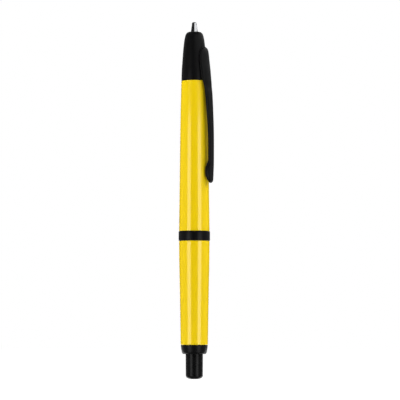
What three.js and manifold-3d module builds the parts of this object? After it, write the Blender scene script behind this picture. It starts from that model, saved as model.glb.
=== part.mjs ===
// Push-button mechanical pencil with a spring clip rooted on its nose cone.
// Millimetres. +Z runs along the pencil from the push button to the tip, and z = 0 is the button's flat end.
// -X points from the axis towards the clip. Outlines are lists of [radius, z].
import * as THREE from "three";
import { mergeVertices } from "three/addons/utils/BufferGeometryUtils.js";
import Module from "manifold-3d";

// ---------------------------------------------------------------- driving dimensions

const FACETS = 32; // sides of the outer shells
const FINE_FACETS = 24; // sides of the mechanism's pieces
const LEAD_FACETS = 12;
const SEAM = 0.05; // gap between two end faces that meet
const SLIP = 0.1; // radial gap between a shaft and its bore

const TIP_TOP = 140;
const TIP_RIM_R = 0.92;
const TIP_BASE_R = 1.36; // where the cone leaves the nose
const TIP_SHOULDER_R = 2.7;
const TIP_SHOULDER_LOW = 131;
const TIP_SHOULDER_HIGH = 134.1;
const TIP_LOW = 126.6;
const TIP_THREAD_R = 2.35;
const TIP_BORE_R = 1.55; // room for the chuck's head
const TIP_SKIRT_BORE_R = 1.95; // room for the clutch ring
const TIP_SKIRT_TOP = 129.1;

const NOSE_TOP = 136.15;
const NOSE_LOW = 116.8; // joint with the front barrel
const NOSE_BASE_R = 5.07;
const NOSE_MOUTH_R = 1.55;
const NOSE_BORE_R = 3.3;
const SPIGOT_LOW = 110;
const SPIGOT_R = 4.3;
// the nose's outside, from the joint up to where its rounded end begins
const NOSE_PROFILE = [
  [NOSE_BASE_R, NOSE_LOW],
  [4.97, 120.7],
  [4.73, 124.2],
  [4.42, 128.5],
  [4.17, 131],
  [3.95, 132.8],
  [3.7, 134],
];

const BAND_LOW = 54;
const BAND_HIGH = 57.7;
const BAND_R = 6.15;
const BAND_EDGE = 0.25;

const FRONT_PROFILE = [
  [5.99, BAND_HIGH + SEAM],
  [5.83, 70],
  [5.61, 90],
  [5.48, 100],
  [5.31, 109],
  [5.1, NOSE_LOW - SEAM],
];
const FRONT_BORE_R = 4.6;
const SHELF_BORE_R = 3.6; // the sleeve's flange rests on this shelf

const RING_LOW = 9.75;
const RING_R = 5.24;
const RING_FOOT_R = 4.1; // where its end face starts to round off
const RING_HIGH = 13.3;
const RING_PROFILE = [
  [4.92, RING_LOW + 1],
  [5.14, 12],
  [RING_R, 12.9],
  [RING_R, RING_HIGH - 0.1],
  [RING_R - 0.08, RING_HIGH],
];
const RING_BORE_R = 3.5;
const RING_SPIGOT_R = 4.3;
const RING_SPIGOT_TOP = 18;

const REAR_PROFILE = [
  [5.33, RING_HIGH + SEAM],
  [5.42, 19.1],
  [5.61, 31],
  [5.92, 46.5],
  [5.98, BAND_LOW - SEAM],
];

const COUPLER_LOW = 48.2;
const COUPLER_TOP = 66;
const COUPLER_THREAD_R = 4.55;
const COUPLER_SEAT_R = 4.95;
const COUPLER_BORE_R = 4;

const BUTTON_R = 3.37;
const BUTTON_FLAT_R = 1.3; // flat middle of the button's end
const BUTTON_ROUND = 1.15; // height of the rounding round that flat
const BUTTON_TOP = 16;
const BUTTON_BORE_R = 2.5;
const BUTTON_FLOOR = 1.5;

const SLEEVE_R = NOSE_BORE_R - SLIP;
const SLEEVE_BORE_R = 2.7;
const SLEEVE_LOW = 104;
const SLEEVE_TOP = TIP_SHOULDER_LOW - SEAM;
const SLEEVE_STEP_LOW = 124.6; // the spring bears here
const SLEEVE_STEP_HIGH = 126.5;
const SLEEVE_STEP_R = 1.35;
const FLANGE_R = 4.1;
const FLANGE_LOW = 107.5;
const SHELF_LOW = FLANGE_LOW - 1.2;

const HOLDER_TOP = 110;
const HOLDER_LOW = 97;
const HOLDER_R = 2.6;
const FUNNEL_R = 1.6; // mouth that leads a spare lead into the chuck
const MAGAZINE_R = 2.4;
const MAGAZINE_BORE_R = 2;
const MAGAZINE_LOW = 5.5;
const MAGAZINE_TOP = 101.9;

const CHUCK_LOW = 106;
const CHUCK_TOP = 130.4;
const CHUCK_TAIL_R = 1.15;
const CHUCK_SHANK_R = 0.95;
const CHUCK_HEAD_R = 1.38;
const CHUCK_CONE_LOW = 126.9; // the shank widens into the head from here
const CHUCK_CONE_HIGH = 128.4;
const SLOT_WIDTH = 0.26;
const SLOT_LOW = 117;
const SLOT_COUNT = 3;

const CLUTCH_R = 1.85;
const CLUTCH_LOW = 126.6;
const CLUTCH_TOP = 128.2;

const LEAD_R = 0.35;
const LEAD_LENGTH = 60;
const LEAD_TOP = 139.4;
const RETAINER_R = 0.9;
const RETAINER_LOW = 133.9;
const RETAINER_TOP = 136.1;
const SPARE_LOW = 12;
const SPARE_ORBIT = 1.15;
const SPARE_COUNT = 3;

const ERASER_R = 2.2;
const ERASER_LOW = BUTTON_FLOOR + 0.4;
const ERASER_PLUG_TOP = 10.5;

const SPRING_MEAN_R = 1.9;
const SPRING_WIRE_R = 0.2;
const SPRING_TURNS = 8;

const RIVET_Z = 124.5;
const RIVET_R = 0.62;
const RIVET_HEAD_R = 0.95;
const RIVET_INNER_REACH = NOSE_BORE_R + SLIP;
const RIVET_NECK_REACH = 3.9;
const RIVET_OUTER_REACH = 5.6;

// the clip from its root to its bulb: [z, gap under it, outer face above the body, half width]
const CLIP_STATIONS = [
  [130.2, 0.12, 0.3, 0.6],
  [129.7, 0.12, 0.75, 1.5],
  [129.3, 0.12, 1.02, 1.8],
  [128.6, 0.12, 1.19, 2.2],
  [127.2, 0.12, 1.28, 2.63],
  [125, 0.12, 1.34, 2.88],
  [122, 0.12, 1.46, 2.83],
  [119, 0.12, 1.61, 2.78],
  [117.2, 0.15, 1.72, 2.62],
  [115.6, 0.42, 1.71, 2.5],
  [114, 0.54, 1.71, 2.33],
  [112, 0.68, 1.91, 2.22],
  [109.5, 0.8, 2.06, 2.13],
  [107, 0.9, 2.19, 2.05],
  [104, 1.1, 2.32, 1.9],
  [100, 1.22, 2.5, 1.75],
  [96, 1.28, 2.57, 1.7],
  [92, 1.33, 2.57, 1.65],
  [86, 1.3, 2.48, 1.65],
  [84, 0.74, 2.44, 1.72],
  [82.6, 0.12, 2.3, 1.95],
  [81, 0.12, 2.07, 2.15],
  [79.4, 0.2, 2.02, 2.1],
  [78.4, 0.52, 2.06, 1.8],
  [77.6, 0.82, 2.12, 1.5],
  [77, 1.15, 2, 1.15],
  [76.7, 1.3, 1.85, 0.75],
];
const CLIP_STEPS = 52; // slices along the clip
const CLIP_CORNERS = 20; // points round a slice
const CLIP_SQUARENESS = 5; // 2 is an ellipse, more is squarer
const CLIP_WRAP_START = 112.5; // below this the clip is flat across
const CLIP_WRAP_FULL = 118.5; // above this it wraps round the nose

// ---------------------------------------------------------------- materials

function finish(color, roughness, metalness) {
  return new THREE.MeshStandardMaterial({ color, roughness, metalness });
}

const YELLOW_LACQUER = finish(0xf0d61e, 0.25, 0.1);
const BLACK_SATIN = finish(0x141415, 0.4, 0.2);
const POLISHED_STEEL = finish(0xc8cacc, 0.15, 1);
const SPRING_STEEL = finish(0x9a9ca0, 0.35, 1);
const BRASS = finish(0xb8923c, 0.35, 1);
const BLACK_RUBBER = finish(0x1c1c1c, 0.9, 0);
const WHITE_ERASER = finish(0xf0efe9, 0.85, 0);
const GRAPHITE = finish(0x3a3b3e, 0.5, 0.3);
const GREY_PLASTIC = finish(0xc4c6c4, 0.45, 0);

// ---------------------------------------------------------------- helpers

const wasm = await Module();
wasm.setup();

// Points on a smooth curve through [radius, z] stations.
function smooth(stations, steps) {
  const curve = new THREE.SplineCurve(stations.map(([r, z]) => new THREE.Vector2(r, z)));
  return curve.getPoints(steps).map((p) => [p.x, p.y]);
}

// Points on a rounded corner from one [radius, z] to another, pulled towards a third.
function rounded(from, corner, to, steps = 4) {
  const [a, b, c] = [from, corner, to].map(([r, z]) => new THREE.Vector2(r, z));
  return new THREE.QuadraticBezierCurve(a, b, c).getPoints(steps).map((p) => [p.x, p.y]);
}

// Radius of a profile at height z.
function radiusAt(profile, z) {
  const after = profile.findIndex((point) => point[1] >= z);
  if (after === 0) return profile[0][0];
  if (after < 0) return profile[profile.length - 1][0];
  const [r0, z0] = profile[after - 1];
  const [r1, z1] = profile[after];
  return r0 + ((r1 - r0) * (z - z0)) / (z1 - z0);
}

// A turned piece about +Z. The outline runs up the outside and down the inside, and is closed here.
function turned(outline, facets = FACETS) {
  const points = outline.map(([r, z]) => new THREE.Vector2(r, z));
  if (points[0].x > 0 || points[points.length - 1].x > 0) points.push(points[0].clone());
  return new THREE.LatheGeometry(points, facets).rotateX(Math.PI / 2);
}

function toSolid(geometry) {
  const bare = geometry.clone();
  bare.deleteAttribute("normal");
  bare.deleteAttribute("uv");
  const merged = mergeVertices(bare, 1e-4);
  const index = Array.from(merged.index.array);
  const triVerts = [];
  for (let i = 0; i < index.length; i += 3) {
    const [a, b, c] = index.slice(i, i + 3);
    if (a !== b && b !== c && c !== a) triVerts.push(a, b, c);
  }
  const mesh = new wasm.Mesh({
    numProp: 3,
    vertProperties: new Float32Array(merged.attributes.position.array),
    triVerts: new Uint32Array(triVerts),
  });
  return new wasm.Manifold(mesh);
}

function toGeometry(solid) {
  const mesh = solid.getMesh();
  const geometry = new THREE.BufferGeometry();
  geometry.setAttribute("position", new THREE.BufferAttribute(new Float32Array(mesh.vertProperties), 3));
  geometry.setIndex(new THREE.BufferAttribute(new Uint32Array(mesh.triVerts), 1));
  geometry.computeVertexNormals();
  return geometry;
}

// The geometry with every tool cut away from it.
function cut(geometry, tools) {
  let solid = toSolid(geometry);
  for (const tool of tools) solid = solid.subtract(toSolid(tool));
  return toGeometry(solid);
}

// ---------------------------------------------------------------- outer shells

const noseOutside = [
  ...smooth(NOSE_PROFILE, 14),
  ...rounded(NOSE_PROFILE[NOSE_PROFILE.length - 1], [3.4, 136.1], [1.95, NOSE_TOP], 5).slice(1),
];
const frontOutside = smooth(FRONT_PROFILE, 10);

// Cutter for the rivet's hole, lying along -X: countersunk from the bore outwards.
function rivetHole(outerReach) {
  const outline = [
    [0, NOSE_BORE_R - 0.6],
    [RIVET_HEAD_R + 0.2, NOSE_BORE_R - 0.6],
    [RIVET_HEAD_R + 0.2, RIVET_INNER_REACH + 0.05],
    [RIVET_R + 0.12, RIVET_NECK_REACH + 0.1],
    [RIVET_R + 0.12, outerReach],
    [0, outerReach],
  ];
  return turned(outline, LEAD_FACETS).rotateY(-Math.PI / 2).translate(0, 0, RIVET_Z);
}

function noseCone() {
  const outline = [
    [SPIGOT_R, SPIGOT_LOW],
    [SPIGOT_R, NOSE_LOW],
    ...noseOutside,
    [NOSE_MOUTH_R, NOSE_TOP],
    [NOSE_MOUTH_R, TIP_SHOULDER_HIGH + 0.3],
    [TIP_SHOULDER_R + SLIP, TIP_SHOULDER_HIGH + 0.1],
    [TIP_SHOULDER_R + SLIP, TIP_SHOULDER_LOW + 0.2],
    [NOSE_BORE_R, TIP_SHOULDER_LOW],
    [NOSE_BORE_R, SPIGOT_LOW],
  ];
  return cut(turned(outline), [rivetHole(NOSE_BASE_R + 1)]);
}

function frontBarrel() {
  const outline = [
    ...frontOutside,
    [SPIGOT_R + SLIP, NOSE_LOW - SEAM],
    [SPIGOT_R + SLIP, FLANGE_LOW - SEAM],
    [SHELF_BORE_R, FLANGE_LOW - SEAM],
    [SHELF_BORE_R, SHELF_LOW],
    [FRONT_BORE_R, SHELF_LOW - 0.8],
    [FRONT_BORE_R, COUPLER_TOP + SLIP],
    [COUPLER_SEAT_R + SLIP, COUPLER_TOP + SLIP],
    [COUPLER_SEAT_R + SLIP, BAND_HIGH + SEAM],
  ];
  return turned(outline);
}

function centreBand() {
  const edge = BAND_R - BAND_EDGE;
  const outline = [
    ...rounded([edge, BAND_LOW], [BAND_R, BAND_LOW], [BAND_R, BAND_LOW + BAND_EDGE], 2),
    ...rounded([BAND_R, BAND_HIGH - BAND_EDGE], [BAND_R, BAND_HIGH], [edge, BAND_HIGH], 2),
    [COUPLER_THREAD_R + SLIP, BAND_HIGH],
    [COUPLER_THREAD_R + SLIP, BAND_LOW],
  ];
  return turned(outline);
}

function barrelCoupler() {
  const outline = [
    [COUPLER_THREAD_R - 0.2, COUPLER_LOW],
    [COUPLER_THREAD_R, COUPLER_LOW + 0.3],
    [COUPLER_THREAD_R, BAND_HIGH + SEAM],
    [COUPLER_SEAT_R, BAND_HIGH + SEAM],
    [COUPLER_SEAT_R, COUPLER_TOP],
    [COUPLER_BORE_R, COUPLER_TOP],
    [COUPLER_BORE_R, COUPLER_LOW],
  ];
  return turned(outline);
}

function rearBarrel() {
  const outline = [
    ...smooth(REAR_PROFILE, 10),
    [COUPLER_THREAD_R + SLIP, BAND_LOW - SEAM],
    [COUPLER_THREAD_R + SLIP, RING_SPIGOT_TOP + 0.2],
    [RING_SPIGOT_R + SLIP, RING_SPIGOT_TOP + 0.2],
    [RING_SPIGOT_R + SLIP, RING_HIGH + SEAM],
  ];
  return turned(outline);
}

function endRing() {
  const outline = [
    ...rounded([RING_FOOT_R, RING_LOW], [4.76, RING_LOW + 0.02], RING_PROFILE[0]),
    ...RING_PROFILE.slice(1),
    [RING_SPIGOT_R, RING_HIGH],
    [RING_SPIGOT_R, RING_SPIGOT_TOP],
    [RING_BORE_R, RING_SPIGOT_TOP],
    [RING_BORE_R, RING_LOW],
  ];
  return turned(outline);
}

function buttonCap() {
  const outline = [
    [0, 0],
    [BUTTON_FLAT_R, 0],
    ...rounded([BUTTON_FLAT_R, 0], [3.08, 0.25], [BUTTON_R - 0.05, BUTTON_ROUND], 6).slice(1),
    [BUTTON_R, 9],
    [BUTTON_R, BUTTON_TOP],
    [BUTTON_BORE_R, BUTTON_TOP],
    [BUTTON_BORE_R, BUTTON_FLOOR],
    [0, BUTTON_FLOOR],
  ];
  return turned(outline);
}

// ---------------------------------------------------------------- clip

// Height of the body's surface under the clip.
function bodyRadius(z) {
  return z > NOSE_LOW ? radiusAt(noseOutside, z) : radiusAt(frontOutside, z);
}

// One slice of the clip: a rounded bar, bent across to follow the nose where it wraps.
function clipSlice([z, gap, rise, halfWidth]) {
  const body = bodyRadius(z);
  const inner = body + gap;
  const outer = body + rise;
  const wrap = THREE.MathUtils.smoothstep(z, CLIP_WRAP_START, CLIP_WRAP_FULL);
  const points = [];
  for (let i = 0; i < CLIP_CORNERS; i += 1) {
    const angle = (2 * Math.PI * i) / CLIP_CORNERS;
    const side = Math.sign(Math.cos(angle)) * Math.abs(Math.cos(angle)) ** (2 / CLIP_SQUARENESS);
    const face = Math.sign(Math.sin(angle)) * Math.abs(Math.sin(angle)) ** (2 / CLIP_SQUARENESS);
    const radius = (inner + outer) / 2 + (face * (outer - inner)) / 2;
    const turn = (side * halfWidth) / inner;
    const across = THREE.MathUtils.lerp(side * halfWidth, radius * Math.sin(turn), wrap);
    const out = THREE.MathUtils.lerp(radius, radius * Math.cos(turn), wrap);
    points.push(new THREE.Vector3(-out, -across, z));
  }
  return points;
}

// The clip's numbers at a fraction t of the way along its stations.
function clipStation(t) {
  const at = t * (CLIP_STATIONS.length - 1);
  const first = Math.min(Math.floor(at), CLIP_STATIONS.length - 2);
  const pick = (i) => CLIP_STATIONS[THREE.MathUtils.clamp(i, 0, CLIP_STATIONS.length - 1)];
  const s = at - first;
  return pick(first).map((value, k) => {
    const [p0, p1, p2, p3] = [first - 1, first, first + 1, first + 2].map((i) => pick(i)[k]);
    const bend = 2 * p0 - 5 * p1 + 4 * p2 - p3;
    const twist = 3 * p1 - p0 - 3 * p2 + p3;
    return p1 + 0.5 * s * (p2 - p0 + s * (bend + s * twist));
  });
}

function clip() {
  const positions = [];
  const index = [];
  for (let i = 0; i <= CLIP_STEPS; i += 1) {
    for (const point of clipSlice(clipStation(i / CLIP_STEPS))) positions.push(...point.toArray());
  }
  for (let i = 0; i < CLIP_STEPS; i += 1) {
    for (let j = 0; j < CLIP_CORNERS; j += 1) {
      const a = i * CLIP_CORNERS + j;
      const b = i * CLIP_CORNERS + ((j + 1) % CLIP_CORNERS);
      index.push(a, b, a + CLIP_CORNERS, b, b + CLIP_CORNERS, a + CLIP_CORNERS);
    }
  }
  const last = CLIP_STEPS * CLIP_CORNERS;
  for (let j = 1; j < CLIP_CORNERS - 1; j += 1) {
    index.push(0, j + 1, j);
    index.push(last, last + j, last + j + 1);
  }
  const geometry = new THREE.BufferGeometry();
  geometry.setAttribute("position", new THREE.Float32BufferAttribute(positions, 3));
  geometry.setIndex(index);
  return cut(geometry, [rivetHole(RIVET_OUTER_REACH + 0.15)]);
}

function clipRivet() {
  const outline = [
    [0, RIVET_INNER_REACH],
    [RIVET_HEAD_R, RIVET_INNER_REACH],
    [RIVET_R, RIVET_NECK_REACH],
    [RIVET_R, RIVET_OUTER_REACH],
    [0, RIVET_OUTER_REACH],
  ];
  return turned(outline, LEAD_FACETS).rotateY(-Math.PI / 2).translate(0, 0, RIVET_Z);
}

// ---------------------------------------------------------------- mechanism

const LEAD_HOLE_R = LEAD_R + 0.07;
const RETAINER_SEAT_R = RETAINER_R + SEAM;

function tipCone() {
  const outline = [
    [TIP_THREAD_R, TIP_LOW],
    [TIP_THREAD_R, TIP_SHOULDER_LOW],
    [TIP_SHOULDER_R, TIP_SHOULDER_LOW],
    [TIP_SHOULDER_R, TIP_SHOULDER_HIGH],
    [NOSE_MOUTH_R - SLIP, TIP_SHOULDER_HIGH],
    [TIP_BASE_R, NOSE_TOP],
    [1.2, 137.4],
    [TIP_RIM_R + 0.05, 139],
    ...rounded([TIP_RIM_R, 139.5], [TIP_RIM_R - 0.06, TIP_TOP], [LEAD_HOLE_R + 0.08, TIP_TOP]),
    [LEAD_HOLE_R, TIP_TOP - 0.05],
    [LEAD_HOLE_R, RETAINER_TOP + 0.3],
    [RETAINER_SEAT_R, RETAINER_TOP + 0.1],
    [RETAINER_SEAT_R, RETAINER_LOW - 0.5],
    [TIP_BORE_R, RETAINER_LOW - 0.7],
    [TIP_BORE_R, TIP_SKIRT_TOP + 0.1],
    [TIP_SKIRT_BORE_R, TIP_SKIRT_TOP],
    [TIP_SKIRT_BORE_R, TIP_LOW],
  ];
  return turned(outline, FINE_FACETS);
}

function ring(innerR, outerR, low, high) {
  return turned([[outerR, low], [outerR, high], [innerR, high], [innerR, low]], FINE_FACETS);
}

function rod(radius, low, high) {
  return turned([[0, low], [radius, low], [radius, high], [0, high]], LEAD_FACETS);
}

function mechanismSleeve() {
  const outline = [
    [SLEEVE_R, SLEEVE_LOW],
    [SLEEVE_R, FLANGE_LOW],
    [FLANGE_R, FLANGE_LOW],
    [FLANGE_R, SPIGOT_LOW - SLIP],
    [SLEEVE_R, SPIGOT_LOW - SLIP],
    [SLEEVE_R, SLEEVE_TOP],
    [TIP_THREAD_R + SLIP, SLEEVE_TOP],
    [TIP_THREAD_R + SLIP, SLEEVE_STEP_HIGH],
    [SLEEVE_STEP_R, SLEEVE_STEP_HIGH],
    [SLEEVE_STEP_R, SLEEVE_STEP_LOW],
    [SLEEVE_BORE_R, SLEEVE_STEP_LOW],
    [SLEEVE_BORE_R, SLEEVE_LOW],
  ];
  return turned(outline, FINE_FACETS);
}

function clutchRing() {
  const slope = (CHUCK_HEAD_R - CHUCK_SHANK_R) / (CHUCK_CONE_HIGH - CHUCK_CONE_LOW);
  const neck = CHUCK_SHANK_R + 0.06;
  const mouth = neck + slope * (CLUTCH_TOP - CHUCK_CONE_LOW);
  const outline = [
    [CLUTCH_R, CLUTCH_LOW],
    [CLUTCH_R, CLUTCH_TOP],
    [mouth, CLUTCH_TOP],
    [neck, CHUCK_CONE_LOW],
    [neck, CLUTCH_LOW],
  ];
  return turned(outline, FINE_FACETS);
}

function chuck() {
  const bore = LEAD_R + 0.15;
  const grip = LEAD_R + 0.05;
  const outline = [
    [CHUCK_TAIL_R, CHUCK_LOW],
    [CHUCK_TAIL_R, HOLDER_TOP],
    [CHUCK_SHANK_R, HOLDER_TOP + 0.3],
    [CHUCK_SHANK_R, CHUCK_CONE_LOW],
    [CHUCK_HEAD_R, CHUCK_CONE_HIGH],
    [CHUCK_HEAD_R, CHUCK_TOP - 0.5],
    [CHUCK_TAIL_R, CHUCK_TOP],
    [grip, CHUCK_TOP],
    [grip, CHUCK_CONE_HIGH],
    [bore, CHUCK_CONE_LOW],
    [bore, CHUCK_LOW],
  ];
  const slots = [];
  for (let i = 0; i < SLOT_COUNT; i += 1) {
    const slot = new THREE.BoxGeometry(3, SLOT_WIDTH, CHUCK_TOP + 1 - SLOT_LOW);
    slot.translate(1.5, 0, (CHUCK_TOP + 1 + SLOT_LOW) / 2).rotateZ((2 * Math.PI * i) / SLOT_COUNT + 0.1);
    slots.push(slot);
  }
  return cut(turned(outline, FINE_FACETS), slots);
}

function chuckHolder() {
  const outline = [
    [MAGAZINE_BORE_R - SLIP, HOLDER_LOW],
    [MAGAZINE_BORE_R - SLIP, MAGAZINE_TOP + SEAM],
    [HOLDER_R, MAGAZINE_TOP + SEAM],
    [HOLDER_R, HOLDER_TOP],
    [CHUCK_TAIL_R + SLIP, HOLDER_TOP],
    [CHUCK_TAIL_R + SLIP, CHUCK_LOW - SLIP],
    [LEAD_R + 0.2, CHUCK_LOW - SLIP],
    [LEAD_R + 0.2, MAGAZINE_TOP],
    [FUNNEL_R, HOLDER_LOW],
  ];
  return turned(outline, FINE_FACETS);
}

function returnSpring() {
  const low = HOLDER_TOP + SPRING_WIRE_R + SLIP;
  const high = SLEEVE_STEP_LOW - SPRING_WIRE_R - SLIP;
  const points = [];
  const steps = SPRING_TURNS * 14;
  for (let i = 0; i <= steps; i += 1) {
    const t = i / steps;
    const angle = 2 * Math.PI * SPRING_TURNS * t;
    // the end turns lie closer, as on a ground coil
    const rise = THREE.MathUtils.clamp((t * SPRING_TURNS - 0.75) / (SPRING_TURNS - 1.5), 0, 1);
    const z = low + (high - low) * (0.92 * rise + 0.08 * t);
    points.push(new THREE.Vector3(SPRING_MEAN_R * Math.cos(angle), SPRING_MEAN_R * Math.sin(angle), z));
  }
  const section = new THREE.Shape();
  section.absarc(0, 0, SPRING_WIRE_R, 0, 2 * Math.PI);
  const path = new THREE.CatmullRomCurve3(points);
  return new THREE.ExtrudeGeometry(section, { steps, curveSegments: 3, extrudePath: path });
}

function eraser() {
  const outline = [
    [0, ERASER_LOW],
    ...rounded([ERASER_R - 0.5, ERASER_LOW], [ERASER_R, ERASER_LOW], [ERASER_R, ERASER_LOW + 0.5], 2),
    [ERASER_R, MAGAZINE_LOW - SLIP],
    [MAGAZINE_BORE_R - SLIP, MAGAZINE_LOW - SLIP],
    [MAGAZINE_BORE_R - SLIP, ERASER_PLUG_TOP],
    [0, ERASER_PLUG_TOP],
  ];
  return turned(outline, FINE_FACETS);
}

// ---------------------------------------------------------------- assembly

const pencil = new THREE.Group();

function add(name, geometry, material) {
  const mesh = new THREE.Mesh(geometry, material);
  mesh.name = name;
  pencil.add(mesh);
  return mesh;
}

add("nose_cone", noseCone(), BLACK_SATIN);
add("clip", clip(), BLACK_SATIN);
add("clip_rivet", clipRivet(), POLISHED_STEEL);
add("front_barrel", frontBarrel(), YELLOW_LACQUER);
add("centre_band", centreBand(), BLACK_SATIN);
add("barrel_coupler", barrelCoupler(), BRASS);
add("rear_barrel", rearBarrel(), YELLOW_LACQUER);
add("end_ring", endRing(), BLACK_SATIN);
add("button_cap", buttonCap(), BLACK_SATIN);
add("tip_cone", tipCone(), POLISHED_STEEL);
add("lead_retainer", ring(LEAD_R + 0.03, RETAINER_R, RETAINER_LOW, RETAINER_TOP), BLACK_RUBBER);
add("mechanism_sleeve", mechanismSleeve(), POLISHED_STEEL);
add("return_spring", returnSpring(), SPRING_STEEL);
add("clutch_ring", clutchRing(), BRASS);
add("chuck", chuck(), BRASS);
add("chuck_holder", chuckHolder(), GREY_PLASTIC);
add("lead_magazine", ring(MAGAZINE_BORE_R, MAGAZINE_R, MAGAZINE_LOW, MAGAZINE_TOP), GREY_PLASTIC);
add("eraser", eraser(), WHITE_ERASER);
add("lead", rod(LEAD_R, LEAD_TOP - LEAD_LENGTH, LEAD_TOP), GRAPHITE);
for (let i = 0; i < SPARE_COUNT; i += 1) {
  const angle = (2 * Math.PI * i) / SPARE_COUNT;
  const spare = add(`spare_lead_${i + 1}`, rod(LEAD_R, SPARE_LOW, SPARE_LOW + LEAD_LENGTH), GRAPHITE);
  spare.position.set(SPARE_ORBIT * Math.cos(angle), SPARE_ORBIT * Math.sin(angle), 0);
}

export default pencil;
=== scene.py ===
"""Push-button mechanical pencil, upright on its button in a white studio, clip to the right.

Sizes are in millimetres until a mesh is made, and the studio's are in metres.
Outlines are lists of (radius, height)."""
import math

import bpy
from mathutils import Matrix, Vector


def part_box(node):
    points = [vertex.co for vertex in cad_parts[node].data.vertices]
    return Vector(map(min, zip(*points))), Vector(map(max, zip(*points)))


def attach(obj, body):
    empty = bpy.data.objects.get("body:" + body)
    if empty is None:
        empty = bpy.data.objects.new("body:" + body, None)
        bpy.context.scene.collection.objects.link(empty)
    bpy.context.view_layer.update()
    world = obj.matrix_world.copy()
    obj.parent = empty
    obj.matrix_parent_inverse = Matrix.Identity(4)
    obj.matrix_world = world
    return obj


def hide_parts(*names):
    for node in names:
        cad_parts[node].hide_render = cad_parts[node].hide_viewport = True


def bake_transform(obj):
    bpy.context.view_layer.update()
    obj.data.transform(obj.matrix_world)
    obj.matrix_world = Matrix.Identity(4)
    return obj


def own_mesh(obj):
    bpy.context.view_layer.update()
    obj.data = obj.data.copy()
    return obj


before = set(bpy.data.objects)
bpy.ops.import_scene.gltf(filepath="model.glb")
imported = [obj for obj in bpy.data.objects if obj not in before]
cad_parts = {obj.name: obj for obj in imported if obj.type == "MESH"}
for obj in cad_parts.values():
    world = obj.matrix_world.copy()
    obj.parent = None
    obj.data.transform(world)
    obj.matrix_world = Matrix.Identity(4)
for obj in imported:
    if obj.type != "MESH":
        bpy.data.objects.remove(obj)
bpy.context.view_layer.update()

MM = 0.001


# ---------------------------------------------------------------- sizes, from the frame

def low(node):
    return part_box(node)[0][2] / MM


def high(node):
    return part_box(node)[1][2] / MM


def radius_of(node):
    return max(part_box(node)[1][1], -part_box(node)[0][1]) / MM


SEAM = 0.05  # gap between two end faces that meet
SLIP = 0.1  # radial gap between a shaft and its bore
SEGMENTS = 160  # round the outer shells
FINE_SEGMENTS = 96  # round the mechanism's pieces
LEAD_SEGMENTS = 32
SHARP_DEG = 32  # a turned piece's edges are sharp above this
LOFT_SHARP_DEG = 60

NOSE_TOP = high("nose_cone")
NOSE_JOINT = high("front_barrel") + SEAM
BAND_LOW = low("centre_band")
BAND_HIGH = high("centre_band")
RING_LOW = low("end_ring")
RING_JOINT = low("rear_barrel") - SEAM
SPIGOT_R = 4.3
NOSE_BORE_R = 3.3
MOUTH_R = 1.55
SHOULDER_R = radius_of("tip_cone")
SHOULDER_LOW = 131
SHOULDER_HIGH = 134.1
THREAD_R = 4.55  # crest of the coupler's thread
THREAD_DEPTH = 0.28
THREAD_PITCH = 0.75
THREAD_STEPS = 62  # rows of points along the thread
LEAD_R = radius_of("lead")
FLANGE_LOW = 107.5
FRONT_BORE_R = 4.6
SHELF_BORE_R = 3.6  # the sleeve's flange rests on this shelf

NOSE_PROFILE = [
    (5.07, NOSE_JOINT),
    (4.97, 120.7),
    (4.73, 124.2),
    (4.42, 128.5),
    (4.17, 131),
    (3.95, 132.8),
    (3.7, 134),
]
FRONT_PROFILE = [
    (5.99, BAND_HIGH + SEAM),
    (5.83, 70),
    (5.61, 90),
    (5.48, 100),
    (5.31, 109),
    (5.1, NOSE_JOINT - SEAM),
]
REAR_PROFILE = [(5.33, RING_JOINT + SEAM), (5.42, 19.1), (5.61, 31), (5.92, 46.5), (5.98, BAND_LOW - SEAM)]

# the clip from its root to its bulb: (height, gap under it, outer face above the body, half width)
CLIP_STATIONS = [
    (130.2, 0.03, 0.3, 0.6),
    (129.7, 0.03, 0.75, 1.5),
    (129.3, 0.03, 1.02, 1.8),
    (128.6, 0.03, 1.19, 2.2),
    (127.2, 0.03, 1.28, 2.63),
    (125, 0.03, 1.34, 2.88),
    (122, 0.03, 1.46, 2.83),
    (119, 0.03, 1.61, 2.78),
    (117.2, 0.15, 1.72, 2.62),
    (115.6, 0.42, 1.71, 2.5),
    (114, 0.54, 1.71, 2.33),
    (112, 0.68, 1.91, 2.22),
    (109.5, 0.8, 2.06, 2.13),
    (107, 0.9, 2.19, 2.05),
    (104, 1.1, 2.32, 1.9),
    (100, 1.22, 2.5, 1.75),
    (96, 1.28, 2.57, 1.7),
    (92, 1.33, 2.57, 1.65),
    (86, 1.3, 2.48, 1.65),
    (84, 0.74, 2.44, 1.72),
    (82.6, 0.12, 2.3, 1.95),
    (81, 0.12, 2.07, 2.15),
    (79.4, 0.2, 2.02, 2.1),
    (78.4, 0.52, 2.06, 1.8),
    (77.6, 0.82, 2.12, 1.5),
    (77, 1.15, 2, 1.15),
    (76.7, 1.3, 1.85, 0.75),
]
CLIP_STEPS = 150
CLIP_CORNERS = 56
CLIP_SQUARENESS = 5
CLIP_WRAP_START = 112.5
CLIP_WRAP_FULL = 118.5


# ---------------------------------------------------------------- camera, lights and floor, in metres

CAMERA_AZIMUTH = math.radians(210)
CAMERA_DISTANCE = 0.94
CAMERA_HEIGHT = 0.019
AIM_HEIGHT = 0.07
AIM_RIGHT = 0.00223
CAMERA_LENS = 216.2
FLOOR_HEIGHT = -0.016

STRIP_RADIANCE = 2.8
WING_RADIANCE = 0.14
TIP_PANEL_RADIANCE = 0.85
BACK_PANEL_RADIANCE = 1.6
# even light: (azimuth, width, radiance), each in a high and a low row, clear of the mirror directions
SOFT_PANELS = [
    (0, 0.5, 2.1),
    (50, 0.4, 3.3),
    (-50, 0.4, 3.3),
    (85, 0.4, 4),
    (-85, 0.4, 4),
    (130, 0.5, 3.3),
    (-130, 0.5, 3.3),
    (180, 0.5, 1.9),
]
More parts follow.
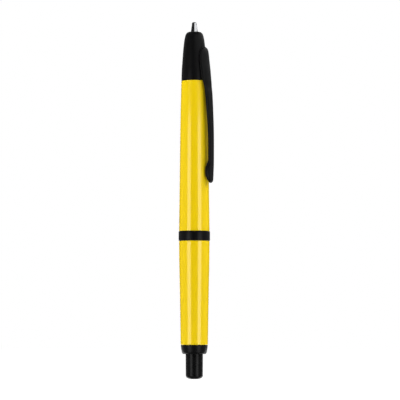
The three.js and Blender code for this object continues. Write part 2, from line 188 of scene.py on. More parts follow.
# each row's heights and its share of the light
SOFT_ROWS = [(0.36, 0.9, 1.2), (-0.74, -0.2, 0.8)]


def around(azimuth, distance, height):
    """A point that far from the axis. Azimuth 0 is on the -Y side, and grows towards +X."""
    return Vector((distance * math.sin(azimuth), -distance * math.cos(azimuth), height))


def point_at(obj, target):
    obj.rotation_euler = (Vector(target) - obj.location).to_track_quat("-Z", "Y").to_euler()


def add_camera():
    data = bpy.data.cameras.new("camera")
    data.lens = CAMERA_LENS
    data.clip_start = 0.01
    camera = bpy.data.objects.new("camera", data)
    bpy.context.scene.collection.objects.link(camera)
    right = Vector((math.cos(CAMERA_AZIMUTH), math.sin(CAMERA_AZIMUTH), 0)) * AIM_RIGHT
    camera.location = around(CAMERA_AZIMUTH, CAMERA_DISTANCE, CAMERA_HEIGHT) + right
    point_at(camera, right + Vector((0, 0, AIM_HEIGHT)))
    bpy.context.scene.camera = camera


def add_softbox(name, azimuth_deg, distance, width, z_low, z_high, radiance, reflected=True):
    """An upright rectangular light that faces the pencil, and makes only reflections or only even light.

    Azimuth is from the camera's side, and grows to its right."""
    data = bpy.data.lights.new(name, "AREA")
    data.shape = "RECTANGLE"
    data.size = width
    data.size_y = z_high - z_low
    data.energy = radiance * math.pi * data.size * data.size_y
    light = bpy.data.objects.new(name, data)
    bpy.context.scene.collection.objects.link(light)
    light.location = around(CAMERA_AZIMUTH + math.radians(azimuth_deg), distance, (z_low + z_high) / 2)
    point_at(light, (0, 0, light.location.z))
    light.visible_camera = False
    light.visible_diffuse = not reflected
    light.visible_glossy = reflected


def add_lights():
    """Soft panels all round give even light. Strips, wings, tip panels and a back panel make reflections."""
    for azimuth, width, radiance in SOFT_PANELS:
        for z_low, z_high, share in SOFT_ROWS:
            name = f"panel_{azimuth}_{z_low}"
            add_softbox(name, azimuth, 0.6, width, z_low, z_high, radiance * share, reflected=False)
    for side in (-1, 1):
        add_softbox(f"strip_{side}", side * 41.5, 0.55, 0.26, -0.3, 0.17, STRIP_RADIANCE)
        add_softbox(f"wing_{side}", side * 95, 0.6, 0.7, -0.3, 0.2, WING_RADIANCE)
        add_softbox(f"back_strip_{side}", side * 138, 0.55, 0.26, -0.7, -0.06, STRIP_RADIANCE)
    add_softbox("tip_panel_front", 35, 0.6, 0.72, 0.3, 0.7, TIP_PANEL_RADIANCE)
    add_softbox("tip_panel_side", 105, 0.6, 1.1, 0.3, 0.7, TIP_PANEL_RADIANCE)
    add_softbox("back_panel", 180, 0.6, 0.24, -0.3, 0.24, BACK_PANEL_RADIANCE)


def add_world():
    """White where the camera looks straight at it, and nearly dark for everything else."""
    world = bpy.data.worlds.new("studio")
    world.use_nodes = True
    nodes, links = world.node_tree.nodes, world.node_tree.links
    nodes.clear()
    output = nodes.new("ShaderNodeOutputWorld")
    mix = nodes.new("ShaderNodeMixShader")
    path = nodes.new("ShaderNodeLightPath")
    dark = nodes.new("ShaderNodeBackground")
    white = nodes.new("ShaderNodeBackground")
    dark.inputs["Color"].default_value = (0.02, 0.02, 0.02, 1)
    white.inputs["Color"].default_value = (1, 1, 1, 1)
    links.new(path.outputs["Is Camera Ray"], mix.inputs[0])
    links.new(dark.outputs[0], mix.inputs[1])
    links.new(white.outputs[0], mix.inputs[2])
    links.new(mix.outputs[0], output.inputs["Surface"])
    bpy.context.scene.world = world


def add_floor():
    """White, and low enough to clear the cap when it is pulled off downwards."""
    size, z = 3, FLOOR_HEIGHT
    mesh = bpy.data.meshes.new("floor")
    corners = [(-size, -size, z), (size, -size, z), (size, size, z), (-size, size, z)]
    mesh.from_pydata(corners, [], [(0, 1, 2, 3)])
    floor = bpy.data.objects.new("floor", mesh)
    bpy.context.scene.collection.objects.link(floor)
    material = bpy.data.materials.new("floor")
    material.use_nodes = True
    shader = material.node_tree.nodes["Principled BSDF"]
    shader.inputs["Base Color"].default_value = (0.3, 0.3, 0.3, 1)
    shader.inputs["Roughness"].default_value = 0.9
    shader.inputs["Specular IOR Level"].default_value = 0
    shader.inputs["Emission Color"].default_value = (1, 1, 1, 1)
    shader.inputs["Emission Strength"].default_value = 1
    mesh.materials.append(material)
    floor.visible_diffuse = False
    floor.visible_glossy = False
    floor.visible_shadow = False


# ---------------------------------------------------------------- outlines

def smooth(stations, steps):
    """Points on a Catmull-Rom curve through the stations, of any number of values each."""
    count = len(stations) - 1
    points = []
    for i in range(steps + 1):
        at = i / steps * count
        first = min(int(at), count - 1)
        s = at - first
        near = [stations[min(max(first + k, 0), count)] for k in (-1, 0, 1, 2)]
        points.append(tuple(
            p1 + 0.5 * s * (p2 - p0 + s * (2 * p0 - 5 * p1 + 4 * p2 - p3 + s * (3 * p1 - p0 - 3 * p2 + p3)))
            for p0, p1, p2, p3 in zip(*near)
        ))
    return points


def rounded(start, corner, end, steps=8):
    """Points on a round corner from start to end, pulled towards corner."""
    points = []
    for i in range(steps + 1):
        t = i / steps
        near, middle, far = (1 - t) ** 2, 2 * t * (1 - t), t * t
        points.append(tuple(near * a + middle * b + far * c for a, b, c in zip(start, corner, end)))
    return points


def eased(corners, closed=True, steps=4):
    """An outline with its corners rounded. A corner is (radius, height) or (radius, height, round)."""
    points = []
    count = len(corners)
    for i, corner in enumerate(corners):
        here = Vector(corner[:2])
        ease = corner[2] if len(corner) > 2 else 0
        if not ease or (not closed and i in (0, count - 1)):
            points.append(tuple(here))
            continue
        before = Vector(corners[i - 1][:2]) - here
        after = Vector(corners[(i + 1) % count][:2]) - here
        start = here + before.normalized() * min(ease, before.length * 0.48)
        end = here + after.normalized() * min(ease, after.length * 0.48)
        points += rounded(start, here, end, steps)
    return points


def straight(start, end, steps):
    return [tuple(Vector(start).lerp(Vector(end), i / steps)) for i in range(steps + 1)]


def height_ramp(z, start, end):
    """0 at start, 1 at end, smooth between."""
    t = min(max((z - start) / (end - start), 0), 1)
    return t * t * (3 - 2 * t)


# ---------------------------------------------------------------- meshes

def make_piece(name, vertices, faces, sharp_deg=SHARP_DEG):
    """A smooth-shaded mesh object from points in millimetres."""
    mesh = bpy.data.meshes.new(name)
    mesh.from_pydata([tuple(c * MM for c in v) for v in vertices], [], faces)
    mesh.validate()
    mesh.polygons.foreach_set("use_smooth", [True] * len(mesh.polygons))
    mesh.set_sharp_from_angle(angle=math.radians(sharp_deg))
    piece = bpy.data.objects.new(name, mesh)
    bpy.context.scene.collection.objects.link(piece)
    return piece


def turned(name, outline, segments=SEGMENTS, warp=None):
    """A piece turned about Z. The outline runs up the outside and down the inside.

    Where it starts and ends on the axis, it closes there, and otherwise on itself.
    warp(radius, height, angle) moves a point's radius, for threads, ribs and grooves."""
    apart = [(Vector(p) - Vector(q)).length > 1e-5 for p, q in zip(outline[1:], outline)]
    points = [p for p, kept in zip(outline, [True, *apart]) if kept]
    on_axis = points[0][0] < 1e-6
    vertices, faces, rings = [], [], []
    for r, z in points:
        if r < 1e-6:
            rings.append([len(vertices)] * segments)
            vertices.append((0, 0, z))
            continue
        rings.append(list(range(len(vertices), len(vertices) + segments)))
        for j in range(segments):
            angle = 2 * math.pi * j / segments
            reach = warp(r, z, angle) if warp else r
            vertices.append((reach * math.cos(angle), reach * math.sin(angle), z))
    pairs = list(zip(rings, rings[1:]))
    if not on_axis:
        pairs.append((rings[-1], rings[0]))
    for below, above in pairs:
        for j in range(segments):
            k = (j + 1) % segments
            face = [below[j], below[k], above[k], above[j]]
            face = [v for i, v in enumerate(face) if v != face[i - 1]]
            if len(face) > 2:
                faces.append(face)
    return make_piece(name, vertices, faces)


def lay_towards_clip(piece, height):
    """Turns a piece made about Z so that it lies along -X, the clip's side, at that height."""
    for vertex in piece.data.vertices:
        x, y, z = vertex.co
        vertex.co = (-z, -y, height * MM - x)
    return piece


def lofted(name, slices):
    """A closed piece through rings of points, with a point at each end."""
    count = len(slices[0])
    vertices = [p for ring in slices for p in ring]
    faces = []
    for i in range(len(slices) - 1):
        for j in range(count):
            k = (j + 1) % count
            a, b = i * count, (i + 1) * count
            faces.append((a + j, a + k, b + k, b + j))
    for ring, flip in ((0, False), (len(slices) - 1, True)):
        centre = len(vertices)
        vertices.append(tuple(sum(p[c] for p in slices[ring]) / count for c in range(3)))
        for j in range(count):
            a, b = ring * count + j, ring * count + (j + 1) % count
            faces.append((a, b, centre) if flip else (b, a, centre))
    return make_piece(name, vertices, faces, LOFT_SHARP_DEG)


def cut_by(piece, cutters):
    """Cuts the cutters out of a piece, and deletes them."""
    for cutter in cutters:
        modifier = piece.modifiers.new("cut", "BOOLEAN")
        modifier.operation = "DIFFERENCE"
        modifier.solver = "EXACT"
        modifier.object = cutter
    bpy.context.view_layer.update()
    evaluated = piece.evaluated_get(bpy.context.evaluated_depsgraph_get())
    mesh = bpy.data.meshes.new_from_object(evaluated)
    piece.modifiers.clear()
    old = piece.data
    piece.data = mesh
    mesh.name = piece.name
    bpy.data.meshes.remove(old)
    for cutter in cutters:
        bpy.data.objects.remove(cutter)
    mesh.set_sharp_from_angle(angle=math.radians(SHARP_DEG))
    return piece


# ---------------------------------------------------------------- materials

class Shader:
    """A Principled material and short calls for its texture nodes."""

    def __init__(self, name, color, roughness, metallic=0.0, **sockets):
        self.material = bpy.data.materials.new(name)
        self.material.use_nodes = True
        self.tree = self.material.node_tree
        self.bsdf = self.tree.nodes["Principled BSDF"]
        self.bsdf.inputs["Base Color"].default_value = (*color, 1)
        self.bsdf.inputs["Roughness"].default_value = roughness
        self.bsdf.inputs["Metallic"].default_value = metallic
        for socket, value in sockets.items():
            self.bsdf.inputs[socket.replace("_", " ")].default_value = value
        self.place = self.tree.nodes.new("ShaderNodeTexCoord").outputs["Object"]

    def stretched(self, scale):
        mapping = self.tree.nodes.new("ShaderNodeMapping")
        mapping.inputs["Scale"].default_value = scale
        self.tree.links.new(self.place, mapping.inputs["Vector"])
        return mapping.outputs["Vector"]

    def noise(self, size_mm, detail=2.0, stretch=None):
        node = self.tree.nodes.new("ShaderNodeTexNoise")
        node.inputs["Scale"].default_value = 1 / (size_mm * MM)
        node.inputs["Detail"].default_value = detail
        self.tree.links.new(self.stretched(stretch) if stretch else self.place, node.inputs["Vector"])
        return node.outputs["Fac"]

    def spread(self, value, low_value, high_value):
        """A 0.3 to 0.7 texture value mapped to a range."""
        node = self.tree.nodes.new("ShaderNodeMapRange")
        node.inputs["From Min"].default_value = 0.3
        node.inputs["From Max"].default_value = 0.7
        node.inputs["To Min"].default_value = low_value
        node.inputs["To Max"].default_value = high_value
        self.tree.links.new(value, node.inputs["Value"])
        return node.outputs["Result"]

    def tint(self, value, first, second):
        """Base colour from first to second as the value goes from 0.3 to 0.7."""
        node = self.tree.nodes.new("ShaderNodeMix")
        node.data_type = "RGBA"
        node.inputs["A"].default_value = (*first, 1)
        node.inputs["B"].default_value = (*second, 1)
        self.tree.links.new(self.spread(value, 0, 1), node.inputs["Factor"])
        self.tree.links.new(node.outputs["Result"], self.bsdf.inputs["Base Color"])
        return self

    def vary_roughness(self, value, low_value, high_value):
        self.tree.links.new(self.spread(value, low_value, high_value), self.bsdf.inputs["Roughness"])
        return self

    def bump(self, value, depth_mm):
        node = self.tree.nodes.new("ShaderNodeBump")
        node.inputs["Distance"].default_value = depth_mm * MM
        node.inputs["Strength"].default_value = 1
        self.tree.links.new(value, node.inputs["Height"])
        self.tree.links.new(node.outputs["Normal"], self.bsdf.inputs["Normal"])
        return self


def yellow_lacquer():
    shader = Shader("yellow_lacquer", (0.88, 0.62, 0.002), 0.24, Coat_Weight=0.6, Coat_Roughness=0.08)
    shader.tint(shader.noise(0.05, 3), (0.87, 0.605, 0.0015), (0.9, 0.64, 0.003))
    shader.vary_roughness(shader.noise(6, 2), 0.22, 0.26)
    return shader.bump(shader.noise(1.6, 1), 0.0003)


def black_satin():
    shader = Shader("black_satin", (0.0018, 0.0018, 0.002), 0.33, Specular_IOR_Level=0.14,
                    Sheen_Weight=0.05, Sheen_Roughness=0.5)
    shader.tint(shader.noise(3, 4), (0.0015, 0.0015, 0.0016), (0.0021, 0.0021, 0.0023))
    shader.vary_roughness(shader.noise(0.4, 3), 0.3, 0.37)
    return shader.bump(shader.noise(0.06, 2), 0.0006)


def black_plastic():
    shader = Shader("black_plastic", (0.0018, 0.0018, 0.002), 0.28, Specular_IOR_Level=0.15,
                    Sheen_Weight=0.05, Sheen_Roughness=0.5)
    shader.tint(shader.noise(2, 4), (0.0015, 0.0015, 0.0016), (0.0022, 0.0022, 0.0024))
    shader.vary_roughness(shader.noise(0.5, 3), 0.25, 0.32)
    return shader.bump(shader.noise(0.08, 2), 0.0006)


def turned_metal(name, color, roughness, line_mm=0.05):
    """Metal with the fine rings that a lathe leaves."""
    shader = Shader(name, color, roughness, 1.0)
    lines = shader.noise(line_mm, 2, (0.02, 0.02, 1))
    shader.vary_roughness(lines, roughness * 0.75, roughness * 1.3)
    return shader.bump(lines, 0.0015)


def drawn_wire():
    shader = Shader("spring_steel", (0.36, 0.37, 0.39), 0.3, 1.0)
    shader.tint(shader.noise(0.3, 3), (0.3, 0.31, 0.33), (0.42, 0.43, 0.45))
    return shader.bump(shader.noise(0.05, 3), 0.002)


def moulded(name, color, roughness, grain_mm, depth_mm, **sockets):
    """Moulded plastic, rubber or vinyl, with mottled colour and a fine grain."""
    shader = Shader(name, color, roughness, **sockets)
    shader.tint(shader.noise(1.5, 4), [c * 0.92 for c in color], [min(c * 1.08, 1) for c in color])
    shader.vary_roughness(shader.noise(0.7, 3), roughness * 0.88, min(roughness * 1.1, 1))
    return shader.bump(shader.noise(grain_mm, 3), depth_mm)


MATERIALS = {
    "yellow_lacquer": yellow_lacquer(),
    "black_satin": black_satin(),
    "black_plastic": black_plastic(),
    "polished_steel": turned_metal("polished_steel", (0.78, 0.79, 0.81), 0.09),
    "brushed_steel": turned_metal("brushed_steel", (0.55, 0.56, 0.58), 0.28, 0.08),
    "spring_steel": drawn_wire(),
    "brass": turned_metal("brass", (0.72, 0.5, 0.18), 0.24, 0.06),
    "black_rubber": moulded("black_rubber", (0.015, 0.015, 0.015), 0.85, 0.05, 0.004),
    "grey_plastic": moulded("grey_plastic", (0.6, 0.61, 0.6), 0.4, 0.2, 0.002, Subsurface_Weight=0.2),
    "white_eraser": moulded("white_eraser", (0.86, 0.85, 0.82), 0.8, 0.12, 0.01, Subsurface_Weight=0.3),
    "graphite": moulded("graphite", (0.045, 0.045, 0.05), 0.42, 0.03, 0.002),
}


def fit(piece, node, body, slot):
    """The piece takes a CAD node's place on its body, with a slot's material."""
    piece.data.materials.clear()
    piece.data.materials.append(MATERIALS[slot].material)
    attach(piece, body)
    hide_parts(node)
    return piece


# ---------------------------------------------------------------- outer shells

RIVET_Z = 124.5
RIVET_R = 0.62
RIVET_HEAD_R = 0.95
RIVET_INNER_REACH = NOSE_BORE_R + SLIP
RIVET_NECK_REACH = 3.9
RIVET_OUTER_REACH = 5.6

nose_outside = smooth(NOSE_PROFILE, 60) + rounded(NOSE_PROFILE[-1], (3.4, 136.1), (1.95, NOSE_TOP), 14)[1:]
front_outside = smooth(FRONT_PROFILE, 60)
rear_outside = smooth(REAR_PROFILE, 50)


def edge_eased(outside, ease):
    """An outside curve with both of its ends turned in by a small round edge."""
    (r0, z0), (r1, z1) = outside[0], outside[-1]
    middle = [p for p in outside if z0 + ease < p[1] < z1 - ease]
    start = rounded((r0 - ease, z0), (r0, z0), (middle[0][0], z0 + ease), 6)
    end = rounded((middle[-1][0], z1 - ease), (r1, z1), (r1 - ease, z1), 6)
    return start + middle + end


def rivet_hole(outer_reach):
    outline = [
        (0, NOSE_BORE_R - 0.6),
        (RIVET_HEAD_R + 0.2, NOSE_BORE_R - 0.6),
        (RIVET_HEAD_R + 0.2, RIVET_INNER_REACH + 0.05),
        (RIVET_R + 0.12, RIVET_NECK_REACH + 0.1),
        (RIVET_R + 0.12, outer_reach),
        (0, outer_reach),
    ]
    return lay_towards_clip(turned("rivet_hole", outline, LEAD_SEGMENTS), RIVET_Z)


def nose_cone():
    base_r = NOSE_PROFILE[0][0]
    outline = eased([
        (SPIGOT_R, low("nose_cone"), 0.3),
        (SPIGOT_R, NOSE_JOINT),
        (base_r - 0.12, NOSE_JOINT),
    ], closed=False)
    outline += rounded((base_r - 0.12, NOSE_JOINT), (base_r, NOSE_JOINT), nose_outside[2], 4)
    outline += nose_outside[3:]
    outline += eased([
        (1.9, NOSE_TOP),
        (MOUTH_R, NOSE_TOP, 0.1),
        (MOUTH_R, SHOULDER_HIGH + 0.3),
        (SHOULDER_R + SLIP, SHOULDER_HIGH + 0.1, 0.1),
        (SHOULDER_R + SLIP, SHOULDER_LOW + 0.2),
        (NOSE_BORE_R, SHOULDER_LOW),
        (NOSE_BORE_R, low("nose_cone"), 0.15),
        (SPIGOT_R - 0.4, low("nose_cone")),
    ], closed=False)
    piece = cut_by(turned("nose_cone_fine", outline), [rivet_hole(RIVET_OUTER_REACH)])
    fit(piece, "nose_cone", "barrel", "black_satin")


def front_barrel():
    outline = edge_eased(front_outside, 0.22)
    outline += eased([
        (SPIGOT_R + SLIP + 0.3, NOSE_JOINT - SEAM),
        (SPIGOT_R + SLIP, NOSE_JOINT - SEAM, 0.12),
        (SPIGOT_R + SLIP, FLANGE_LOW - SEAM),
        (SHELF_BORE_R, FLANGE_LOW - SEAM, 0.1),
        (SHELF_BORE_R, FLANGE_LOW - 1.2, 0.1),
        (FRONT_BORE_R, FLANGE_LOW - 2),
        (FRONT_BORE_R, high("barrel_coupler") + SLIP),
        (radius_of("barrel_coupler") + SLIP, high("barrel_coupler") + SLIP),
        (radius_of("barrel_coupler") + SLIP, BAND_HIGH + SEAM, 0.1),
        (radius_of("barrel_coupler") + SLIP + 0.2, BAND_HIGH + SEAM),
    ], closed=False)
    fit(turned("front_barrel_fine", outline), "front_barrel", "barrel", "yellow_lacquer")


def centre_band():
    band_r = radius_of("centre_band")
    bore = THREAD_R + SLIP
    outline = eased([
        (band_r, BAND_LOW, 0.25),
        (band_r, BAND_HIGH, 0.25),
        (bore, BAND_HIGH, 0.1),
        (bore, BAND_LOW, 0.1),
    ])
    fit(turned("centre_band_fine", outline), "centre_band", "band", "black_satin")


def thread_height(z, angle):
    """0 in the root and 1 on the crest of a right-hand thread."""
    turn = (z / THREAD_PITCH - angle / (2 * math.pi)) % 1
    return min(max(2.4 * (0.5 - abs(turn - 0.5)) - 0.1, 0), 1)


def fade(z, z_low, z_high, reach):
    """1 between two heights, falling smoothly to 0 within that reach inside each, as a thread runs out."""
    return height_ramp(z, z_low, z_low + reach) * height_ramp(z, z_high, z_high - reach)


def barrel_coupler():
    bottom, top = low("barrel_coupler"), high("barrel_coupler")
    seat_r, bore_r = radius_of("barrel_coupler"), 4
    thread_low, thread_high = bottom + 0.5, BAND_LOW + 0.6
    root = THREAD_R - THREAD_DEPTH

    def warp(r, z, angle):
        if r > bore_r + 0.01 and thread_low <= z <= thread_high and r < seat_r - 0.1:
            return root + THREAD_DEPTH * thread_height(z, angle) * fade(z, thread_low, thread_high, 0.7)
        if r > seat_r - 0.03 and BAND_HIGH + 1.5 < z < top - 1.5:
            return r - 0.06 * (math.sin(40 * angle) > 0)
        return r

    outline = eased([(bore_r + 0.1, bottom), (root, bottom, 0.15), (root, bottom + 0.4)], closed=False)
    outline += straight((root, thread_low), (root, thread_high), THREAD_STEPS)
    outline += eased([
        (root, thread_high + 0.1),
        (THREAD_R, thread_high + 0.4),
        (THREAD_R, BAND_HIGH + SEAM),
        (seat_r, BAND_HIGH + SEAM, 0.08),
        (seat_r, BAND_HIGH + 1.4),
    ], closed=False)
    outline += straight((seat_r, BAND_HIGH + 1.6), (seat_r, top - 1.6), 4)
    outline += eased([
        (seat_r, top - 1.4),
        (seat_r, top, 0.3),
        (bore_r, top, 0.1),
        (bore_r, bottom, 0.1),
    ], closed=False)
    fit(turned("barrel_coupler_fine", outline, warp=warp), "barrel_coupler", "barrel", "brass")


def rear_barrel():
    mouth = BAND_LOW - SEAM
    spigot_top, thread_r = high("end_ring") + 0.2, THREAD_R + SLIP
    thread_low, thread_high = low("barrel_coupler") - 0.4, mouth - 0.3

    def warp(r, z, angle):
        if abs(r - thread_r) < 0.01 and thread_low < z < thread_high:
            return r - THREAD_DEPTH * (1 - thread_height(z, angle)) * fade(z, thread_low, thread_high, 0.7)
        return r

    outline = edge_eased(rear_outside, 0.22)
    outline += eased([
        (thread_r + 0.3, mouth),
        (thread_r, mouth, 0.1),
        (thread_r, mouth - 0.25),
    ], closed=False)
    outline += straight((thread_r, mouth - 0.3), (thread_r, thread_low - 0.05), THREAD_STEPS)
    outline += eased([
        (thread_r, low("barrel_coupler") - 2.2),
        (thread_r, spigot_top),
        (SPIGOT_R + SLIP, spigot_top),
        (SPIGOT_R + SLIP, RING_JOINT + SEAM, 0.1),
        (SPIGOT_R + SLIP + 0.2, RING_JOINT + SEAM),
    ], closed=False)
    fit(turned("rear_barrel_fine", outline, warp=warp), "rear_barrel", "rear", "yellow_lacquer")


def end_ring():
    bore_r = 3.5
    outline = rounded((4.1, RING_LOW), (4.76, RING_LOW + 0.02), (4.92, RING_LOW + 1), 12)
    outline += smooth([(4.92, RING_LOW + 1), (5.14, 12), (5.24, 12.9), (5.24, RING_JOINT - 0.1)], 12)[1:]
    outline += eased([
        (5.16, RING_JOINT, 0.04),
        (SPIGOT_R, RING_JOINT),
        (SPIGOT_R, high("end_ring"), 0.3),
        (bore_r, high("end_ring"), 0.1),
        (bore_r, RING_LOW, 0.18),
        (bore_r + 0.4, RING_LOW),
    ], closed=False)
    fit(turned("end_ring_fine", outline), "end_ring", "rear", "black_satin")


def button_cap():
    button_r, top, bore_r, floor_z = radius_of("button_cap"), high("button_cap"), 2.5, 1.5

    def warp(r, z, angle):
        if abs(r - bore_r) < 0.01 and floor_z + 1 < z < top - 1:
            return r - 0.07 * max(math.cos(6 * angle), 0) ** 4
        return r

    outline = [(0, 0), (0.6, 0)]
    outline += rounded((1.3, 0), (3.08, 0.25), (button_r - 0.05, 1.15), 16)
    outline += smooth([(button_r - 0.05, 1.15), (button_r - 0.03, 3), (button_r, 9)], 12)[1:]
    outline += eased([
        (button_r, 9.2),
        (button_r, top, 0.2),
        (bore_r, top, 0.2),
        (bore_r, top - 0.9),
    ], closed=False)
    outline += straight((bore_r, top - 1.1), (bore_r, floor_z + 1.1), 4)
    outline += eased([(bore_r, floor_z + 0.9), (bore_r, floor_z, 0.3), (0, floor_z)], closed=False)
    fit(turned("button_cap_fine", outline, warp=warp), "button_cap", "cap", "black_plastic")


# ---------------------------------------------------------------- clip

def body_radius(z):
    """Height of the nose or barrel surface under the clip."""
    outside = nose_outside if z > NOSE_JOINT else front_outside
    for (r0, z0), (r1, z1) in zip(outside, outside[1:]):
        if z0 <= z <= z1:
            return r0 + (r1 - r0) * (z - z0) / (z1 - z0)
    return outside[-1][0]


def squared(value):
    """A sine or cosine pushed towards 1 or -1, which turns an ellipse into a rounded bar."""
    return math.copysign(abs(value) ** (2 / CLIP_SQUARENESS), value)


def clip_slice(z, gap, rise, half_width, shrink=1.0):
    """A rounded bar's outline, bent across where it wraps round the nose."""
    body = body_radius(z)
    middle, half = body + (gap + rise) / 2, (rise - gap) / 2 * shrink
    wrap = height_ramp(z, CLIP_WRAP_START, CLIP_WRAP_FULL)
    ring = []
    for i in range(CLIP_CORNERS):
        angle = 2 * math.pi * i / CLIP_CORNERS
        side, face = squared(math.cos(angle)), squared(math.sin(angle))
        radius = middle + face * half
        across = side * half_width * shrink
        turn = across / (body + gap)
        out = radius + wrap * (radius * math.cos(turn) - radius)
        across += wrap * (radius * math.sin(turn) - across)
        ring.append((-out, -across, z))
    return ring


def clip():
    stations = smooth(CLIP_STATIONS, CLIP_STEPS)
    slices = [clip_slice(*station) for station in stations]
    end_round = 0.22
    for station, sign in ((stations[0], 1), (stations[-1], -1)):
        extra = []
        for i in range(1, 7):
            t = i / 6 * math.pi / 2
            z, gap, rise, half_width = station
            ring = clip_slice(z, gap, rise, half_width, max(math.cos(t), 0.05))
            extra.append([(x, y, z + sign * end_round * math.sin(t)) for x, y, z in ring])
        slices = extra[::-1] + slices if sign > 0 else slices + extra
    piece = lofted("clip_fine", slices)
    piece = cut_by(piece, [rivet_hole(RIVET_OUTER_REACH + 0.15)])
    piece.data.materials.append(MATERIALS["black_satin"].material)
    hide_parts("clip")
    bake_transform(piece)


def clip_rivet():
    outline = eased([
        (0, RIVET_INNER_REACH),
        (RIVET_HEAD_R, RIVET_INNER_REACH, 0.05),
        (RIVET_R, RIVET_NECK_REACH, 0.05),
        (RIVET_R, RIVET_OUTER_REACH, 0.1),
        (0, RIVET_OUTER_REACH),
    ], closed=False)
    piece = lay_towards_clip(turned("clip_rivet_fine", outline, LEAD_SEGMENTS), RIVET_Z)
    fit(piece, "clip_rivet", "barrel", "polished_steel")


# ---------------------------------------------------------------- mechanism

STEP_LOW = 124.6  # the spring bears here
STEP_HIGH = 126.5
HOLDER_TOP = high("chuck_holder")
MAGAZINE_BORE_R = 2
CHUCK_CONE_LOW = 126.9
CHUCK_CONE_HIGH = 128.4
CHUCK_SHANK_R = 0.95
CHUCK_TAIL_R = 1.15


def tip_cone():
    bottom, top = low("tip_cone"), high("tip_cone")
    hole_r, seat_r, thread_r, pitch = LEAD_R + 0.07, 0.95, 2.35, 0.5

    def warp(r, z, angle):
        if abs(r - thread_r) < 0.01 and bottom + 0.4 < z < SHOULDER_LOW - 0.5:
            turn = (z / pitch - angle / (2 * math.pi)) % 1
            return r - 0.16 * abs(2 * turn - 1) * fade(z, bottom + 0.4, SHOULDER_LOW - 0.5, 0.5)
        return r

    outline = eased([
        (1.95, bottom, 0.05),
        (thread_r, bottom, 0.12),
        (thread_r, bottom + 0.35),
    ], closed=False)
    outline += straight((thread_r, bottom + 0.4), (thread_r, SHOULDER_LOW - 0.5), 40)
    outline += eased([
        (thread_r, SHOULDER_LOW),
        (SHOULDER_R, SHOULDER_LOW, 0.1),
        (SHOULDER_R, SHOULDER_HIGH, 0.15),
        (MOUTH_R - SLIP, SHOULDER_HIGH),
        (1.36, NOSE_TOP),
        (1.2, 137.4, 0.6),
        (0.97, 139, 0.4),
        (0.92, 139.5),
    ], closed=False)
    outline += rounded((0.92, 139.5), (0.86, top), (hole_r + 0.08, top), 10)[1:]
    outline += eased([
        (hole_r + 0.06, top),
        (hole_r, top, 0.05),
        (hole_r, 136.4),
        (seat_r, 136.2),
        (seat_r, 133.4),
        (1.55, 133.2),
        (1.55, 129.2),
        (1.95, 129.1),
        (1.95, bottom + 0.05),
    ], closed=False)
    fit(turned("tip_cone_fine", outline, FINE_SEGMENTS, warp), "tip_cone", "barrel", "polished_steel")


def plain_ring(node, body, slot, inner_r, ease=0.1):
    bottom, top, outer_r = low(node), high(node), radius_of(node)
    outline = eased([
        (outer_r, bottom, ease),
        (outer_r, top, ease),
        (inner_r, top, ease),
        (inner_r, bottom, ease),
    ])
    fit(turned(f"{node}_fine", outline, FINE_SEGMENTS), node, body, slot)


def mechanism_sleeve():
    bottom, top, flange_r = low("mechanism_sleeve"), high("mechanism_sleeve"), radius_of("mechanism_sleeve")
    sleeve_r, bore_r, flange_top = NOSE_BORE_R - SLIP, 2.7, low("nose_cone") - SLIP
    grooves = []
    for z in (112.5, 114, 115.5):
        floor_r = sleeve_r - 0.12
        grooves += [(sleeve_r, z), (floor_r, z + 0.12), (floor_r, z + 0.48), (sleeve_r, z + 0.6)]
    outline = eased([
        (sleeve_r, bottom, 0.15),
        (sleeve_r, FLANGE_LOW),
        (flange_r, FLANGE_LOW, 0.12),
        (flange_r, flange_top, 0.12),
        (sleeve_r, flange_top),
        *grooves,
        (sleeve_r, top, 0.12),
        (2.45, top, 0.08),
        (2.45, STEP_HIGH),
        (1.35, STEP_HIGH, 0.08),
        (1.35, STEP_LOW, 0.08),
        (bore_r, STEP_LOW),
        (bore_r, bottom, 0.15),
    ])
    piece = turned("mechanism_sleeve_fine", outline, FINE_SEGMENTS)
    fit(piece, "mechanism_sleeve", "barrel", "brushed_steel")


def clutch_ring():
    bottom, top, outer_r = low("clutch_ring"), high("clutch_ring"), radius_of("clutch_ring")
    slope = (radius_of("chuck") - CHUCK_SHANK_R) / (CHUCK_CONE_HIGH - CHUCK_CONE_LOW)
    neck = CHUCK_SHANK_R + 0.06
    outline = eased([
        (outer_r, bottom, 0.12),
        (outer_r, top, 0.12),
        (neck + slope * (top - CHUCK_CONE_LOW), top),
        (neck, CHUCK_CONE_LOW),
        (neck, bottom, 0.05),
    ])
    fit(turned("clutch_ring_fine", outline, FINE_SEGMENTS), "clutch_ring", "lead", "brass")


def slot_cutter(turn):
    """A thin plate from the axis outwards, for one of the chuck's slots."""
    half, reach, z0, z1 = 0.13, 3, 117, high("chuck") + 1
    plate = ((0, -half), (reach, -half), (reach, half), (0, half))
    corners = [(x, y, z) for z in (z0, z1) for x, y in plate]
    c, s = math.cos(turn), math.sin(turn)
    corners = [(x * c - y * s, x * s + y * c, z) for x, y, z in corners]
    faces = [(3, 2, 1, 0), (4, 5, 6, 7), (0, 1, 5, 4), (1, 2, 6, 5), (2, 3, 7, 6), (3, 0, 4, 7)]
    return make_piece("slot_cutter", corners, faces)


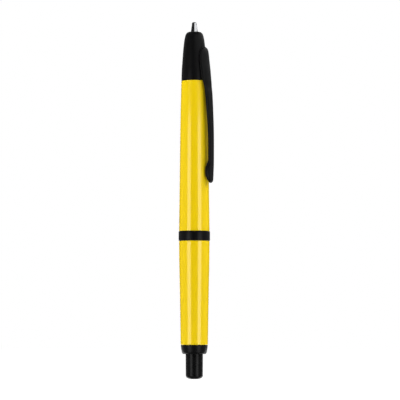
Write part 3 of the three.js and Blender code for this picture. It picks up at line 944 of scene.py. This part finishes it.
def chuck():
    bottom, top, head_r = low("chuck"), high("chuck"), radius_of("chuck")
    bore, grip = LEAD_R + 0.15, LEAD_R + 0.05
    outline = eased([
        (CHUCK_TAIL_R, bottom, 0.1),
        (CHUCK_TAIL_R, HOLDER_TOP),
        (CHUCK_SHANK_R, HOLDER_TOP + 0.3),
        (CHUCK_SHANK_R, CHUCK_CONE_LOW),
        (head_r, CHUCK_CONE_HIGH, 0.1),
        (head_r, top - 0.5, 0.1),
        (CHUCK_TAIL_R, top, 0.05),
        (grip, top, 0.05),
        (grip, CHUCK_CONE_HIGH),
        (bore, CHUCK_CONE_LOW),
        (bore, bottom, 0.05),
    ])
    cutters = [slot_cutter(2 * math.pi * i / 3 + 0.1) for i in range(3)]
    fit(cut_by(turned("chuck_fine", outline, FINE_SEGMENTS), cutters), "chuck", "knock", "brass")


def chuck_holder():
    bottom, outer_r, shelf = low("chuck_holder"), radius_of("chuck_holder"), high("lead_magazine") + SEAM
    spigot_r = MAGAZINE_BORE_R - SLIP
    outline = eased([
        (spigot_r, bottom, 0.15),
        (spigot_r, shelf),
        (outer_r, shelf, 0.15),
        (outer_r, HOLDER_TOP, 0.25),
        (CHUCK_TAIL_R + SLIP, HOLDER_TOP, 0.1),
        (CHUCK_TAIL_R + SLIP, low("chuck") - SLIP),
        (LEAD_R + 0.2, low("chuck") - SLIP),
        (LEAD_R + 0.2, shelf - SEAM),
        (1.6, bottom),
    ])
    fit(turned("chuck_holder_fine", outline, FINE_SEGMENTS), "chuck_holder", "knock", "grey_plastic")


def return_spring():
    mean_r, wire_r, turns, sides, per_turn = 1.9, 0.2, 8, 16, 40
    bottom, top = HOLDER_TOP + SLIP + wire_r, STEP_LOW - SLIP - wire_r
    slices = []
    for i in range(turns * per_turn + 1):
        t = i / (turns * per_turn)
        angle = 2 * math.pi * turns * t
        rise = min(max((t * turns - 0.75) / (turns - 1.5), 0), 1)
        z = bottom + (top - bottom) * (0.92 * rise + 0.08 * t)
        ring = []
        for j in range(sides):
            a = 2 * math.pi * j / sides
            r = mean_r + wire_r * math.cos(a)
            ring.append((r * math.cos(angle), r * math.sin(angle), z + wire_r * math.sin(a)))
        slices.append(ring)
    piece = fit(lofted("return_spring_fine", slices), "return_spring", "barrel", "spring_steel")
    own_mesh(piece)


def eraser():
    head_low, plug_top, head_r = low("eraser"), high("eraser"), radius_of("eraser")
    neck, plug_r = low("lead_magazine") - SLIP, MAGAZINE_BORE_R - SLIP
    outline = eased([
        (0, head_low),
        (head_r, head_low, 0.5),
        (head_r, neck, 0.15),
        (plug_r, neck),
        (plug_r, plug_top, 0.3),
        (0, plug_top),
    ], closed=False, steps=6)
    fit(turned("eraser_fine", outline, FINE_SEGMENTS), "eraser", "eraser", "white_eraser")


def lead_rod(node, body, x=0.0, y=0.0):
    outline = eased([
        (0, low(node)),
        (LEAD_R, low(node), 0.08),
        (LEAD_R, high(node), 0.08),
        (0, high(node)),
    ], closed=False)
    piece = turned(f"{node}_fine", outline, LEAD_SEGMENTS)
    for vertex in piece.data.vertices:
        vertex.co += Vector((x, y, 0)) * MM
    fit(piece, node, body, "graphite")


def spare_leads():
    for node in ("spare_lead_1", "spare_lead_2", "spare_lead_3"):
        corner_low, corner_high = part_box(node)
        middle = (Vector(corner_low) + Vector(corner_high)) / 2 / MM
        lead_rod(node, "knock", middle.x, middle.y)


# ---------------------------------------------------------------- the whole pencil

add_camera()
add_world()
add_lights()
add_floor()
bpy.context.scene.view_settings.view_transform = "Standard"

nose_cone()
front_barrel()
centre_band()
barrel_coupler()
rear_barrel()
end_ring()
button_cap()
clip()
clip_rivet()
tip_cone()
plain_ring("lead_retainer", "barrel", "black_rubber", LEAD_R + 0.03)
mechanism_sleeve()
return_spring()
clutch_ring()
chuck()
chuck_holder()
plain_ring("lead_magazine", "knock", "grey_plastic", MAGAZINE_BORE_R, 0.12)
eraser()
lead_rod("lead", "lead")
spare_leads()
